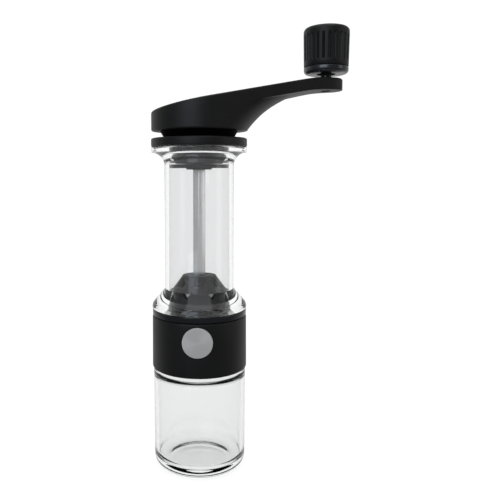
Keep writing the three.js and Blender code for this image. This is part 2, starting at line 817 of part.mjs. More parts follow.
add("drive_shaft", driveShaft(), steel());
add("shaft_ring", sleeve(SHAFT_RING), springSteel());
add("burr_spring", burrSpring(), springSteel());
add("inner_burr", innerBurr(), ceramic());
add("adjuster_washer", sleeve(ADJUSTER_WASHER), springSteel());
add("adjuster_nut", adjusterNut(), deepBlackPlastic());

export default mill;
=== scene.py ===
# A hand-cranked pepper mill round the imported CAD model. Blender metres, +Z up, the mill's axis is Z
# and the crank points along +X at rest.
import math

import bmesh
import bpy
from mathutils import Matrix, Vector


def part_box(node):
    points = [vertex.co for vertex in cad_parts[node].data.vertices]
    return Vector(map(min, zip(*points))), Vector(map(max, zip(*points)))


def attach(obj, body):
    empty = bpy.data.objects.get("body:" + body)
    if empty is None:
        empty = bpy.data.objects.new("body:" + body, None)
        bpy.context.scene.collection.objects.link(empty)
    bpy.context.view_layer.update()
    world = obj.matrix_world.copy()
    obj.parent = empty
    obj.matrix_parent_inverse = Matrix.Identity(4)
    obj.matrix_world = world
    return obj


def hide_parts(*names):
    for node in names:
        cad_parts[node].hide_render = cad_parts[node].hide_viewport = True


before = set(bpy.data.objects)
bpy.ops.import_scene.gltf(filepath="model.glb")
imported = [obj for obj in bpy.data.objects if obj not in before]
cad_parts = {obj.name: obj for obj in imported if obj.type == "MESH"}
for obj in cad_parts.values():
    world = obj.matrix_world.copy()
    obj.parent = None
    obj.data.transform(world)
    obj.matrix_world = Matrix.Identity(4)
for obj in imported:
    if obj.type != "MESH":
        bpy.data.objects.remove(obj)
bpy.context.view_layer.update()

MM = 0.001
TAU = 2 * math.pi

# ---------- camera ----------
CAMERA_DISTANCE = 317 * MM
CAMERA_HEIGHT = 155.5 * MM
CAMERA_PITCH = math.radians(4.78)
CAMERA_ROLL = math.radians(0.13)
FOCAL_LENGTH = 43.2
SENSOR = 36.0
FRAME_SHIFT = (0.1018, -0.05)


def add_camera():
    data = bpy.data.cameras.new("camera")
    data.sensor_width = SENSOR
    data.lens = FOCAL_LENGTH
    data.shift_x, data.shift_y = FRAME_SHIFT
    data.clip_start = 5 * MM
    camera = bpy.data.objects.new("camera", data)
    camera.location = (0, -CAMERA_DISTANCE, CAMERA_HEIGHT)
    camera.rotation_euler = (math.pi / 2 - CAMERA_PITCH, CAMERA_ROLL, 0)
    bpy.context.scene.collection.objects.link(camera)
    bpy.context.scene.camera = camera


# ---------- material building ----------
MIX_FIRST, MIX_SECOND, MIX_RESULT = 6, 7, 2  # a Mix node's colour sockets


class Surface:
    """A Principled material and the node tree that gives it its fine detail."""

    def __init__(self, name, color, roughness, metallic=0.0, **inputs):
        self.material = bpy.data.materials.new(name)
        self.material.use_nodes = True
        self.tree = self.material.node_tree
        self.shader = self.tree.nodes["Principled BSDF"]
        self.shader.inputs["Base Color"].default_value = (*color, 1)
        self.shader.inputs["Roughness"].default_value = roughness
        self.shader.inputs["Metallic"].default_value = metallic
        for key, value in inputs.items():
            self.shader.inputs[key.replace("_", " ")].default_value = value
        self.color = color
        self.roughness = roughness
        self.height = None

    def node(self, kind, **values):
        made = self.tree.nodes.new(kind)
        for key, value in values.items():
            if hasattr(made, key):
                setattr(made, key, value)
            else:
                made.inputs[key.replace("_", " ")].default_value = value
        return made

    def link(self, source, target):
        self.tree.links.new(source, target)

    def position(self, stretch=(1, 1, 1), centre=(0, 0, 0)):
        """Object-space position in metres, scaled along each axis about a centre."""
        place = self.node("ShaderNodeTexCoord")
        mapping = self.node("ShaderNodeMapping")
        mapping.inputs["Scale"].default_value = stretch
        mapping.inputs["Location"].default_value = [-c * s for c, s in zip(centre, stretch)]
        self.link(place.outputs["Object"], mapping.inputs["Vector"])
        return mapping.outputs["Vector"]

    def noise(self, size, detail=3.0, stretch=(1, 1, 1), roughness=0.55):
        """Noise whose features are about size metres across."""
        made = self.node("ShaderNodeTexNoise", Scale=1 / size, Detail=detail, Roughness=roughness)
        self.link(self.position(stretch), made.inputs["Vector"])
        return made.outputs["Fac"]

    def remap(self, value, low, high):
        made = self.node("ShaderNodeMapRange")
        made.inputs["To Min"].default_value = low
        made.inputs["To Max"].default_value = high
        self.link(value, made.inputs["Value"])
        return made.outputs["Result"]

    def vary_roughness(self, value, spread):
        low = max(self.roughness - spread, 0.0)
        self.link(self.remap(value, low, self.roughness + spread), self.shader.inputs["Roughness"])

    def mix_colors(self, share, first, second):
        """Paints the surface with a blend of two colours."""
        mix = self.node("ShaderNodeMix", data_type="RGBA")
        mix.inputs[MIX_FIRST].default_value = (*first, 1)
        mix.inputs[MIX_SECOND].default_value = (*second, 1)
        self.link(share, mix.inputs["Factor"])
        self.link(mix.outputs[MIX_RESULT], self.shader.inputs["Base Color"])

    def vary_color(self, value, spread):
        darker = [c * (1 - spread) for c in self.color]
        lighter = [min(c * (1 + spread), 1) for c in self.color]
        self.mix_colors(value, darker, lighter)

    def paint_slant_shade(self, color, falloff=3.0):
        """Goes over to a deeper colour where the surface is seen at a slant: painted shade for the dark
        edges of thick glass.
        """
        slant = self.node("ShaderNodeLayerWeight", Blend=0.5)
        power = self.node("ShaderNodeMath", operation="POWER")
        power.inputs[1].default_value = falloff
        self.link(slant.outputs["Facing"], power.inputs[0])
        self.mix_colors(power.outputs["Value"], self.color, color)

    def bump(self, value, depth, strength=1.0):
        """Raises the surface by value times depth metres; several bumps add up."""
        made = self.node("ShaderNodeBump", Strength=strength, Distance=depth)
        self.link(value, made.inputs["Height"])
        if self.height:
            self.link(self.height, made.inputs["Normal"])
        self.height = made.outputs["Normal"]
        self.link(self.height, self.shader.inputs["Normal"])


def satin_black():
    """Black moulded plastic with the fine spark-eroded texture of a tool."""
    made = Surface("satin_black", (0.0044, 0.0044, 0.0047), 0.46, Specular_IOR_Level=0.45)
    grain = made.noise(0.28 * MM, detail=2.0)
    wear = made.noise(9 * MM, detail=4.0)
    made.vary_roughness(wear, 0.05)
    made.vary_color(wear, 0.22)
    made.bump(grain, 0.012 * MM, 0.5)
    return made.material


def grained(name, color, roughness, wear, tone, grain, metallic=0.0, **inputs):
    """A plain material with fine unevenness, whose sizes are in mm. wear and tone are the feature size and
    the spread of its roughness and colour; grain is the size, depth, strength and detail of its relief."""
    made = Surface(name, color, roughness, metallic, **inputs)
    made.vary_roughness(made.noise(wear[0] * MM), wear[1])
    made.vary_color(made.noise(tone[0] * MM), tone[1])
    size, depth, strength, detail = grain
    made.bump(made.noise(size * MM, detail), depth * MM, strength)
    return made.material


def grey_plastic(name, shade):
    color = (shade, shade, shade * 1.03)
    grain = (0.3, 0.01, 0.4, 2.0)
    return grained(name, color, 0.42, (3, 0.06), (5, 0.15), grain, Specular_IOR_Level=0.3)


def clear_plastic():
    """Injection-moulded clear plastic: a polished skin with faint flow marks along its length."""
    made = Surface("clear_plastic", (0.965, 0.968, 0.972), 0.012, Transmission_Weight=1.0, IOR=1.49)
    flow = made.noise(3.0 * MM, stretch=(1, 1, 0.12))
    made.vary_roughness(flow, 0.01)
    made.bump(flow, 0.006 * MM, 0.25)
    return made.material


def jar_glass():
    """Blown glass with a heavy foot, a little uneven all over."""
    made = Surface("jar_glass", (0.918, 0.925, 0.922), 0.005, Transmission_Weight=1.0, IOR=1.51)
    # Painted shade: the glass's colour darkens towards its outline, where it is seen at a slant.
    made.paint_slant_shade((0.74, 0.75, 0.745))
    waves = made.noise(7.0 * MM, detail=2.0, stretch=(1, 1, 0.6))
    made.vary_roughness(waves, 0.005)
    made.bump(waves, 0.05 * MM, 0.35)
    return made.material


def drawn_steel():
    """Bright steel bar with fine draw lines along Z."""
    made = Surface("drawn_steel", (0.76, 0.76, 0.77), 0.24, metallic=1.0)
    lines = made.noise(0.22 * MM, detail=4.0, stretch=(1, 1, 0.02))
    made.vary_roughness(lines, 0.07)
    made.vary_color(lines, 0.12)
    made.bump(lines, 0.006 * MM, 0.5)
    return made.material


def spun_steel(centre):
    """A disc turned on a lathe, with fine rings round its centre."""
    made = Surface("spun_steel", (0.5, 0.5, 0.5), 0.34, metallic=0.55, Anisotropic=0.75)
    rings = made.node("ShaderNodeTexWave", wave_type="RINGS", rings_direction="Y")
    rings.inputs["Scale"].default_value = 1 / (0.9 * MM)
    rings.inputs["Distortion"].default_value = 0.6
    rings.inputs["Detail"].default_value = 3.0
    made.link(made.position(centre=centre), rings.inputs["Vector"])
    tangent = made.node("ShaderNodeTangent", direction_type="RADIAL", axis="Y")
    made.link(tangent.outputs["Tangent"], made.shader.inputs["Tangent"])
    made.vary_color(rings.outputs["Fac"], 0.06)
    made.vary_roughness(rings.outputs["Fac"], 0.05)
    made.bump(rings.outputs["Fac"], 0.002 * MM, 0.4)
    return made.material


def floor_paper():
    made = Surface("floor_paper", (0.22, 0.22, 0.22), 0.9, Specular_IOR_Level=0.0)
    made.shader.inputs["Emission Color"].default_value = (1, 1, 1, 1)
    made.shader.inputs["Emission Strength"].default_value = 0.79
    made.vary_color(made.noise(40 * MM), 0.01)
    return made.material


# ---------- mesh building ----------
def arc(r, z, radius, start, end, steps=6):
    """Points on an arc in the (radius, height) plane, with angles in degrees from the radius axis."""
    angles = [math.radians(start + (end - start) * i / steps) for i in range(steps + 1)]
    return [(r + radius * math.cos(a), z + radius * math.sin(a)) for a in angles]


def skin(rows, closed):
    """A mesh over rows of points that each go round an axis. A closed skin joins its last row to its
    first. A row of one point is a tip."""
    mesh = bmesh.new()
    made = [[mesh.verts.new(p) for p in row] for row in rows]
    pairs = list(zip(made, made[1:]))
    if closed:
        pairs.append((made[-1], made[0]))
    for low, high in pairs:
        count = max(len(low), len(high))
        for j in range(count):
            k = (j + 1) % count
            if len(low) == 1:
                mesh.faces.new((low[0], high[k], high[j]))
            elif len(high) == 1:
                mesh.faces.new((low[j], low[k], high[0]))
            else:
                mesh.faces.new((low[j], low[k], high[k], high[j]))
    bmesh.ops.recalc_face_normals(mesh, faces=mesh.faces)
    return mesh


def lathe_rows(profile, segments, centre, turn=0.0):
    rows = []
    for r, z in profile:
        if r < 1e-7:
            rows.append([(centre[0], centre[1], z)])
            continue
        angles = [TAU * j / segments + turn for j in range(segments)]
        rows.append([(centre[0] + r * math.cos(a), centre[1] + r * math.sin(a), z) for a in angles])
    return rows


def add_piece(name, mesh, material, body, nodes, sharp=32):
    """Turns a bmesh into a piece that rides on a body and stands for CAD nodes."""
    data = bpy.data.meshes.new(name)
    mesh.to_mesh(data)
    mesh.free()
    data.shade_smooth()
    data.set_sharp_from_angle(angle=math.radians(sharp))
    data.materials.append(material)
    piece = bpy.data.objects.new(name, data)
    bpy.context.scene.collection.objects.link(piece)
    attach(piece, body)
    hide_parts(*nodes)
    return piece


def turned(profile, segments=192, centre=(0, 0), turn=0.0):
    """A body of revolution; its profile runs up the outside and either meets the axis or closes."""
    closed = profile[0][0] > 1e-7
    return skin(lathe_rows(profile, segments, centre, turn), closed)


def rod(radius, low, high, segments, centre=(0, 0)):
    return turned([(0, low), (radius, low), (radius, high), (0, high)], segments, centre)


def prism(first, last):
    """A closed body between two outlines of as many points each."""
    mesh = bmesh.new()
    ends = [[mesh.verts.new(p) for p in outline] for outline in (first, last)]
    count = len(first)
    for j in range(count):
        k = (j + 1) % count
        mesh.faces.new((ends[0][j], ends[0][k], ends[1][k], ends[1][j]))
    mesh.faces.new(ends[0])
    mesh.faces.new(ends[1])
    bmesh.ops.recalc_face_normals(mesh, faces=mesh.faces)
    return mesh


def soften_edges(mesh, offset, segments):
    bmesh.ops.bevel(mesh, geom=mesh.edges, offset=offset, segments=segments, affect="EDGES", profile=0.5)


def sharpen(piece, degrees):
    """Shades a piece smooth except at edges that turn by more than an angle."""
    piece.data.set_sharp_from_angle(angle=math.radians(degrees))


def cut(piece, tool):
    """Cuts a tool mesh out of a piece, exactly, and applies the result."""
    data = bpy.data.meshes.new("tool")
    tool.to_mesh(data)
    tool.free()
    other = bpy.data.objects.new("tool", data)
    bpy.context.scene.collection.objects.link(other)
    modifier = piece.modifiers.new("cut", "BOOLEAN")
    modifier.operation = "DIFFERENCE"
    modifier.solver = "EXACT"
    modifier.object = other
    graph = bpy.context.evaluated_depsgraph_get()
    result = bpy.data.meshes.new_from_object(piece.evaluated_get(graph))
    piece.modifiers.clear()
    old = piece.data
    piece.data = result
    bpy.data.meshes.remove(old)
    bpy.data.objects.remove(other)
    bpy.data.meshes.remove(data)


def top(node):
    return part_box(node)[1].z


def bottom(node):
    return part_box(node)[0].z


def reach(node):
    """How far a round node reaches from the mill's axis."""
    low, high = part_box(node)
    return max(abs(low.y), high.y)


# ---------- materials in use ----------
BADGE_TURN = math.radians(-2.5)
badge_low, badge_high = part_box("badge_disc")
badge_centre = (badge_low + badge_high) / 2

SATIN = satin_black()
# Matt black plastic whose colour is made far darker than the satin black: painted shade for the crank's
# neck, which sits in the dark gap between the crank's head and the lid.
MATT_BLACK_PAINTED_SHADE = grained(
    "matt_black_painted_shade",
    (0.0006, 0.0006, 0.0007),
    0.7,
    (6, 0.06),
    (4, 0.25),
    (0.35, 0.02, 0.6, 2.0),
    Specular_IOR_Level=0.08,
)
GLOSS = grained("gloss_black", (0.0075, 0.008, 0.0095), 0.13, (5, 0.04), (7, 0.2), (1.6, 0.004, 0.3, 3.0))
LACQUER = grained(
    "black_lacquer", (0.007, 0.008, 0.011), 0.25, (4, 0.03), (7, 0.15), (1.6, 0.003, 0.3, 3.0), IOR=1.9
)
DARK_GREY = grey_plastic("dark_grey_plastic", 0.013)
GREY = grey_plastic("grey_plastic", 0.046)
CLEAR = clear_plastic()
GLASS = jar_glass()
STEEL = drawn_steel()
SPRING = grained(
    "spring_steel", (0.38, 0.385, 0.4), 0.28, (0.6, 0.08), (2, 0.15), (0.15, 0.004, 0.4, 3.0), metallic=1.0
)
CERAMIC = grained("ceramic", (0.8, 0.78, 0.72), 0.55, (2, 0.08), (3, 0.05), (0.12, 0.01, 0.5, 3.0))
SILICONE = grained("silicone", (0.02, 0.02, 0.021), 0.75, (3, 0.08), (3, 0.2), (0.3, 0.01, 0.5, 3.0))
NYLON = grained("nylon", (0.9, 0.89, 0.86), 0.42, (2, 0.06), (3, 0.06), (0.3, 0.008, 0.4, 3.0))

CARRIED_OVER = {
    "jar_gasket": SILICONE,
    "badge_pad": SILICONE,
    "hopper_seal": SILICONE,
    "lid_seal": SILICONE,
    "lower_bush": DARK_GREY,
    "upper_bush": DARK_GREY,
    "lid_bush": DARK_GREY,
    "knob_washer": NYLON,
    "knob_sleeve": NYLON,
    "burr_housing": DARK_GREY,
    "outer_burr": CERAMIC,
    "burr_funnel": NYLON,
    "inner_burr": CERAMIC,
    "housing_screw_1": SPRING,
    "housing_screw_2": SPRING,
    "housing_screw_3": SPRING,
    "neck_screw_1": SPRING,
    "neck_screw_2": SPRING,
    "socket_clip": SPRING,
    "shaft_ring": SPRING,
    "adjuster_washer": SPRING,
    "burr_spring": SPRING,
    "shaft_socket": STEEL,
    "adjuster_nut": MATT_BLACK_PAINTED_SHADE,
}


def finish_carried_over():
    for name, material in CARRIED_OVER.items():
        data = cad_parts[name].data
        data.materials.clear()
        data.materials.append(material)


# ---------- jar ----------
def add_jar():
    wall = 24.5 * MM
    shoulder = 52.0 * MM
    shoulder_corner = 1.6 * MM
    neck = 20.2 * MM
    neck_fillet = 0.9 * MM
    mouth = 18.2 * MM
    mouth_fillet = 3.6 * MM
    rim = top("glass_jar")
    lip = (neck - mouth) / 2
    collar = bottom("collar_shell")
    foot = 24.3 * MM
    foot_fillet = 5.8 * MM
    inside = 22.1 * MM
    inside_shoulder = 3.4 * MM
    inside_fillet = 4.5 * MM
    floor = 4.5 * MM
    hollow_under_foot = [(0, 0.9 * MM), (12 * MM, 0.7 * MM), (16.2 * MM, 0.25 * MM), (17.4 * MM, 0)]
    profile = [
        *hollow_under_foot,
        *arc(foot - foot_fillet, foot_fillet, foot_fillet, -86, 0, 14),
        (wall, shoulder - 1 * MM),
        *arc(wall - shoulder_corner, shoulder - 0.3 * MM, shoulder_corner, 10, 85, 8),
        (neck + neck_fillet, collar - 0.6 * MM),
        *arc(neck + neck_fillet, collar + 0.1 * MM, neck_fillet, 265, 180, 5),
        (neck, rim - lip),
        *arc(neck - lip, rim - lip, lip, 0, 180, 10),
        (mouth, shoulder + 2.2 * MM),
        *arc(mouth + mouth_fillet, shoulder + 2.2 * MM, mouth_fillet, 180, 225, 5),
        *arc(inside - inside_shoulder, shoulder - 4.6 * MM, inside_shoulder, 45, 0, 6),
        *arc(inside - inside_fillet, floor + inside_fillet, inside_fillet, 0, -84, 12),
        (10 * MM, floor - 0.15 * MM),
        (0, floor - 0.3 * MM),
    ]
    piece = add_piece("jar_glass_body", turned(profile), GLASS, "jar", ["glass_jar"], 50)
    piece.visible_shadow = False


# ---------- mill body ----------
def add_collar():
    low, high = bottom("collar_shell"), top("collar_shell")
    outer = 25.1 * MM
    upper = 24.95 * MM
    bore = 22.6 * MM
    deck_bore = 17.6 * MM
    deck_low, deck_high = 68.0 * MM, 70.5 * MM
    edge = 0.9 * MM
    lead_in = 0.5 * MM
    pocket_radius = 8.05 * MM
    pocket_back, pocket_front = -23.45 * MM, -30 * MM
    profile = [
        *arc(outer - edge, low + edge, edge, -90, 0, 6),
        *arc(upper - edge, high - edge, edge, 0, 90, 6),
        (bore, high),
        (bore, deck_high),
        (deck_bore, deck_high),
        (deck_bore, deck_low),
        (bore, deck_low),
        (bore, low + lead_in),
        (bore + lead_in, low),
    ]
    piece = add_piece(
        "collar_body", turned(profile, 256), SATIN, "mill_body", ["collar_shell"], 40
    )
    pocket = rod(pocket_radius, pocket_back, pocket_front, 96)
    face_badge(pocket)
    cut(piece, pocket)
    sharpen(piece, 40)


def face_badge(mesh):
    """Lays a mesh made about Z, whose height is measured along Y, in the badge's place."""
    lay = Matrix(((1, 0, 0, 0), (0, 0, 1, 0), (0, -1, 0, badge_centre.z), (0, 0, 0, 1)))
    bmesh.ops.transform(mesh, matrix=Matrix.Rotation(BADGE_TURN, 4, "Z") @ lay, verts=mesh.verts)
    bmesh.ops.recalc_face_normals(mesh, faces=mesh.faces)


def add_badge():
    radius = 7.75 * MM
    back = -23.95 * MM
    front = -25.15 * MM
    edge = 0.3 * MM
    profile = [
        (0, back),
        (radius, back),
        *arc(radius - edge, front + edge, edge, 0, -90, 5),
        (0, front),
    ]
    mesh = turned(profile, 128)
    face_badge(mesh)
    add_piece(
        "badge_plate", mesh, spun_steel(badge_centre), "mill_body", ["badge_disc"]
    )


def add_base_ring():
    low, high = bottom("base_ring"), top("base_ring")
    outer = reach("base_ring")
    bore = 17.7 * MM
    edge = 0.5 * MM
    groove_inner, groove_outer = 22.6 * MM, 24.1 * MM
    groove_floor = high - 1.3 * MM
    profile = [
        *arc(outer - edge, low + edge, edge, -90, 0, 5),
        *arc(outer - edge, high - edge, edge, 0, 90, 5),
        (groove_outer, high),
        (groove_outer, groove_floor),
        (groove_inner, groove_floor),
        (groove_inner, high),
        (bore, high),
        (bore, low),
    ]
    add_piece("base_band", turned(profile), GLOSS, "mill_body", ["base_ring"])


def add_hopper():
    low, high = bottom("hopper_tube"), top("hopper_tube")
    tube = 18.2 * MM
    bore = 15.9 * MM
    flare = 7.0 * MM
    edge = 0.35 * MM
    outer = tube + flare
    foot = 25.0 * MM
    rounding = 3.5 * MM
    steepness = 41
    corner = 0.5 * MM
    hollow = 18.6 * MM
    profile = [
        *arc(foot - edge, low + edge, edge, -90, 0, 4),
        *arc(foot - rounding, low + 1.02 * MM, rounding, 0, steepness, 12),
        *arc(tube + corner, low + 10.4 * MM, corner, 180 + steepness, 180, 4),
        *arc(outer, high - 2.5 * MM - flare, flare, 180, 93, 16),
        *arc(outer - edge, high - edge, edge, 0, 90, 4),
        *arc(bore + edge, high - edge, edge, 90, 180, 4),
        (bore, low + 9.8 * MM),
        (hollow, low + edge),
        (hollow, low),
    ]
    piece = add_piece(
        "hopper_body", turned(profile, 256), CLEAR, "mill_body", ["hopper_tube"], 40
    )
    piece.visible_shadow = False


def add_cage():
    low, high = bottom("burr_cage"), top("burr_cage")
    outer = 15.4 * MM
    head = 8.8 * MM
    shoulder = low + 10 * MM
    bore = 6.0 * MM
    boss, boss_bottom = 7.4 * MM, 99.0 * MM
    roof, roof_bottom = 8.3 * MM, 101.6 * MM
    inside = outer - 1.7 * MM
    edge = 0.5 * MM
    profile = [
        (outer, low),
        *arc(outer - edge, shoulder - edge, edge, 0, 50, 4),
        *arc(head - edge, high - edge, edge, 50, 90, 3),
        (bore, high),
        (bore, boss_bottom),
        (boss, boss_bottom),
        (boss, roof_bottom),
        (roof, roof_bottom),
        (inside, shoulder - 0.5 * MM),
        (inside, low),
    ]
    piece = add_piece(
        "cage_body", turned(profile, 168), DARK_GREY, "mill_body", ["burr_cage"]
    )
    half_window, window_bottom, window_top = 2.7, 97.2, 102.2
    half_notch, notch_bottom, notch_top = 2.2, 90.2, 94.1
    window = [
        (-half_window, window_bottom),
        (half_window, window_bottom),
        (half_window, window_top),
        (-half_window, window_top),
    ]
    notch = [(-half_notch, notch_top), (0, notch_bottom), (half_notch, notch_top)]
    inlets = 7
    for i in range(inlets):
        cut(piece, radial_prism(window, 360 * i / inlets - 90))
        cut(piece, radial_prism(notch, 360 * (i + 0.5) / inlets - 90))
    sharpen(piece, 32)


def radial_prism(outline, degrees):
    """A prism that runs out from near the axis at an angle; its outline is (sideways, height) in mm."""
    near, far = 7.8 * MM, 20 * MM
    ends = [[(x, across * MM, z * MM) for across, z in outline] for x in (near, far)]
    made = prism(*ends)
    soften_edges(made, 0.35 * MM, 2)
    turn = Matrix.Rotation(math.radians(degrees), 4, "Z")
    bmesh.ops.transform(made, matrix=turn, verts=made.verts)
    return made


def add_guide():
    """The spoked wheel near the top of the hopper, with a hub that stands out below it."""
    low, high = bottom("upper_guide"), top("upper_guide")
    outer = reach("upper_guide")
    bore = 5.3 * MM
    hub = 6.75 * MM
    rim = outer - 2.4 * MM
    disc_low = low + 0.9 * MM
    profile = [(bore, low), (hub, low), (hub, disc_low), (outer, disc_low), (outer, high), (bore, high)]
    piece = add_piece(
        "guide_wheel", turned(profile, 144), DARK_GREY, "mill_body", ["upper_guide"]
    )
    spokes = 4
    half_spoke = 0.13
    narrowing = 0.1
    steps = 20
    for i in range(spokes):
        start = TAU * (i + 0.5) / spokes + half_spoke
        end = TAU * (i + 1.5) / spokes - half_spoke
        gap = [(rim, start + (end - start) * j / steps) for j in range(steps + 1)]
        span = end - start - 2 * narrowing
        gap += [(hub, end - narrowing - span * j / steps) for j in range(steps + 1)]
        ends = [
            [(r * math.cos(a), r * math.sin(a), z) for r, a in gap] for z in (low - MM, high + MM)
        ]
        cut(piece, prism(*ends))
    sharpen(piece, 32)


# ---------- lid ----------
def add_lid():
    low, high = bottom("lid_ring"), top("lid_ring")
    outer = reach("lid_ring")
    bore = 6.3 * MM
    edge = 0.8 * MM
    ring = [
        (bore, low),
        *arc(outer - edge, low + edge, edge, -90, 0, 6),
        *arc(outer - edge, high - edge, edge, 0, 90, 6),
        (bore, high),
    ]
    add_piece("lid_disc", turned(ring, 256), SATIN, "lid", ["lid_ring"])

    low, high = bottom("lid_plug"), top("lid_plug")
    outer = 14.4 * MM
    taper_top = 167.2 * MM
    narrow = 12.5 * MM
    corner = 0.5 * MM
    wall = 1.6 * MM
    floor = low + 1.5 * MM
    collar_bore, collar, collar_top = 6.0 * MM, 7.4 * MM, low + 3.5 * MM
    cup = [
        (collar_bore, low),
        *arc(narrow - corner, low + corner, corner, -90, -8, 4),
        (outer, taper_top),
        (outer, high),
        (outer - wall, high),
        (narrow - wall, floor),
        (collar, floor),
        (collar, collar_top),
        (collar_bore, collar_top),
    ]
    add_piece("lid_cup", turned(cup, 144), GREY, "lid", ["lid_plug"])


# ---------- crank ----------
HEAD_RADIUS = 24.95 * MM
ARM_SLOPE = 0.1965
ARM_AXIS_TOP = 192.95 * MM
ARM_TOP = 204.8 * MM
ARM_THICK = 6.0 * MM
ARM_END = (67.1 * MM, 7.4 * MM)  # centre and radius of its round end
ARM_SOFT = 0.45 * MM  # how softly the climb turns level
WEB_LEAN = 0.8
WEB_FLARE = 0.00157
KNOB_X = 66.0 * MM
NECK_SCREW_X = 13 * MM
NECK_SCREW_RADIUS = 1.5 * MM


def arm_top(x):
    """Height of the arm's upper face: a straight climb that rounds off into a level end."""
    climb = ARM_AXIS_TOP + ARM_SLOPE * x
    if climb <= ARM_TOP - 20 * ARM_SOFT:
        return climb
    return ARM_TOP - ARM_SOFT * math.log1p(math.exp((ARM_TOP - climb) / ARM_SOFT))


def teardrop(angle, head, end_x, end_radius):
    """Distance from the axis to the outline of a big and a small circle and their tangents."""
    lean = math.asin((head - end_radius) / end_x)
    turn = abs(math.remainder(angle, TAU))
    tangent_from = math.pi / 2 - lean
    if turn >= tangent_from:
        return head
    end_tangent = math.atan2(end_radius * math.cos(lean), end_x + end_radius * math.sin(lean))
    if turn >= end_tangent:
        return head / math.cos(tangent_from - turn)
    return end_x * math.cos(turn) + math.sqrt(end_radius**2 - (end_x * math.sin(turn)) ** 2)


def web_outline(angle, z, low):
    """Distance from the axis to the web under the arm, which sweeps out towards the knob as it rises."""
    rise = (z - low) / MM
    sweep = (WEB_LEAN * rise + WEB_FLARE * rise**3) * MM
    taper = (HEAD_RADIUS - ARM_END[1]) / ARM_END[0]
    tip_x = max(sweep / (1 - taper), 0.01 * MM)
    return teardrop(angle, HEAD_RADIUS, tip_x, HEAD_RADIUS - taper * tip_x)


def web_top(angle, low):
    """Height at which the web meets the arm's underside, found by halving."""
    floor, ceiling = low, ARM_TOP
    for _ in range(40):
        middle = (floor + ceiling) / 2
        face = arm_top(web_outline(angle, middle, low) * math.cos(angle)) - ARM_THICK
        floor, ceiling = (middle, ceiling) if middle < face else (floor, middle)
    return floor


def arm_profile(angle, low):
    """One section of the arm from the middle of its underside out, up and back over its top."""
    slab = teardrop(angle, HEAD_RADIUS, *ARM_END)
    join = web_top(angle, low)
    top_edge = 1.1 * MM
    lower_edge = 0.45 * MM
    foot = 0.7 * MM
    fillet = 0.2 * MM

    def height(r):
        return arm_top(r * math.cos(angle))

    points = arc(web_outline(angle, low + foot, low) - foot, low + foot, foot, -90, 0, 4)
    steps = 22
    for i in range(1, steps + 1):
        z = low + foot + (join - 0.3 * MM - low - foot) * i / steps
        points.append((web_outline(angle, z, low), z))
    r = web_outline(angle, join, low)
    overhangs = slab - r > 2 * lower_edge
    for share in (0.25, 0.5, 0.75, 1.0):
        if overhangs:
            at = r + (slab - lower_edge - r) * share
            points.append((at, height(at) - ARM_THICK))
        else:
            points.append((r + (slab - r) * 0.5 * share, join - fillet + fillet * share))
    base = min(lower_edge, (slab - r) * 0.5)
    underside = height(slab) - ARM_THICK
    for i in range(1, 5):
        turn = math.radians(-90 + 90 * i / 4)
        lift = lower_edge + lower_edge * math.sin(turn)
        points.append((slab - base + base * math.cos(turn), underside + lift))
    for i in range(7):
        turn = math.radians(90 * i / 6)
        at = slab - top_edge + top_edge * math.cos(turn)
        points.append((at, height(at) - top_edge + top_edge * math.sin(turn)))
    for share in (0.985, 0.95, 0.9, 0.8, 0.65, 0.45, 0.2):
        at = (slab - top_edge) * share
        points.append((at, height(at)))
    return points


def add_crank():
    low = bottom("crank_arm")
    segments = 360
    angles = [TAU * j / segments for j in range(segments)]
    sections = [arm_profile(a, low) for a in angles]
    rows = [[(0, 0, low)]]
    for ring in zip(*sections):
        rows.append([(r * math.cos(a), r * math.sin(a), z) for (r, z), a in zip(ring, angles)])
    rows.append([(0, 0, arm_top(0))])
    piece = add_piece("crank_body", skin(rows, False), SATIN, "crank", ["crank_arm"], 38)
    socket_bore = 6.2 * MM
    pin_bore = 2.6 * MM
    pilot_depth = 6 * MM
    cut(piece, rod(socket_bore, low - MM, top("shaft_socket") + 0.4 * MM, 64))
    cut(piece, rod(pin_bore, 190 * MM, 210 * MM, 48, (KNOB_X, 0)))
    for side in (-1, 1):
        cut(piece, rod(NECK_SCREW_RADIUS, low - MM, low + pilot_depth, 32, (side * NECK_SCREW_X, 0)))
    sharpen(piece, 38)

    low, high = bottom("crank_neck"), top("crank_neck")
    bore = 6.5 * MM
    narrow, wide = 18.2 * MM, 20.2 * MM
    edge = 0.3 * MM
    screw_head, head_depth = 2.6 * MM, 1.7 * MM
    cone = [(bore, low), *arc(narrow, low + edge, edge, -90, -30, 3), (wide, high), (bore, high)]
    piece = add_piece("neck_cone", turned(cone), MATT_BLACK_PAINTED_SHADE, "crank", ["crank_neck"])
    for side in (-1, 1):
        stepped = [
            (0, low - MM),
            (screw_head, low - MM),
            (screw_head, low + head_depth),
            (NECK_SCREW_RADIUS, low + head_depth),
            (NECK_SCREW_RADIUS, high + MM),
            (0, high + MM),
        ]
        cut(piece, turned(stepped, 32, (side * NECK_SCREW_X, 0)))
    sharpen(piece, 38)


def add_knob_pin():
    low, high = bottom("knob_pin"), top("knob_pin")
    tail = 2.3 * MM
    shank = 2.8 * MM
    head, head_low = 5.4 * MM, 222.5 * MM
    head_edge = 0.8 * MM
    arm = ARM_TOP + 0.3 * MM
    profile = [
        (0, low),
        (tail - 0.3 * MM, low),
        (tail, low + 0.3 * MM),
        (tail, arm),
        (shank - 0.2 * MM, arm),
        (shank, arm + 0.2 * MM),
        (shank, head_low),
        (head, head_low),
        (head, high - head_edge),
        *arc(head - head_edge, high - head_edge, head_edge, 0, 90, 4),
        (0, high),
    ]
    add_piece("pin_body", turned(profile, 64, (KNOB_X, 0)), GLOSS, "crank", ["knob_pin"])


# ---------- knob ----------
GROOVE_TURN = math.radians(4.1)


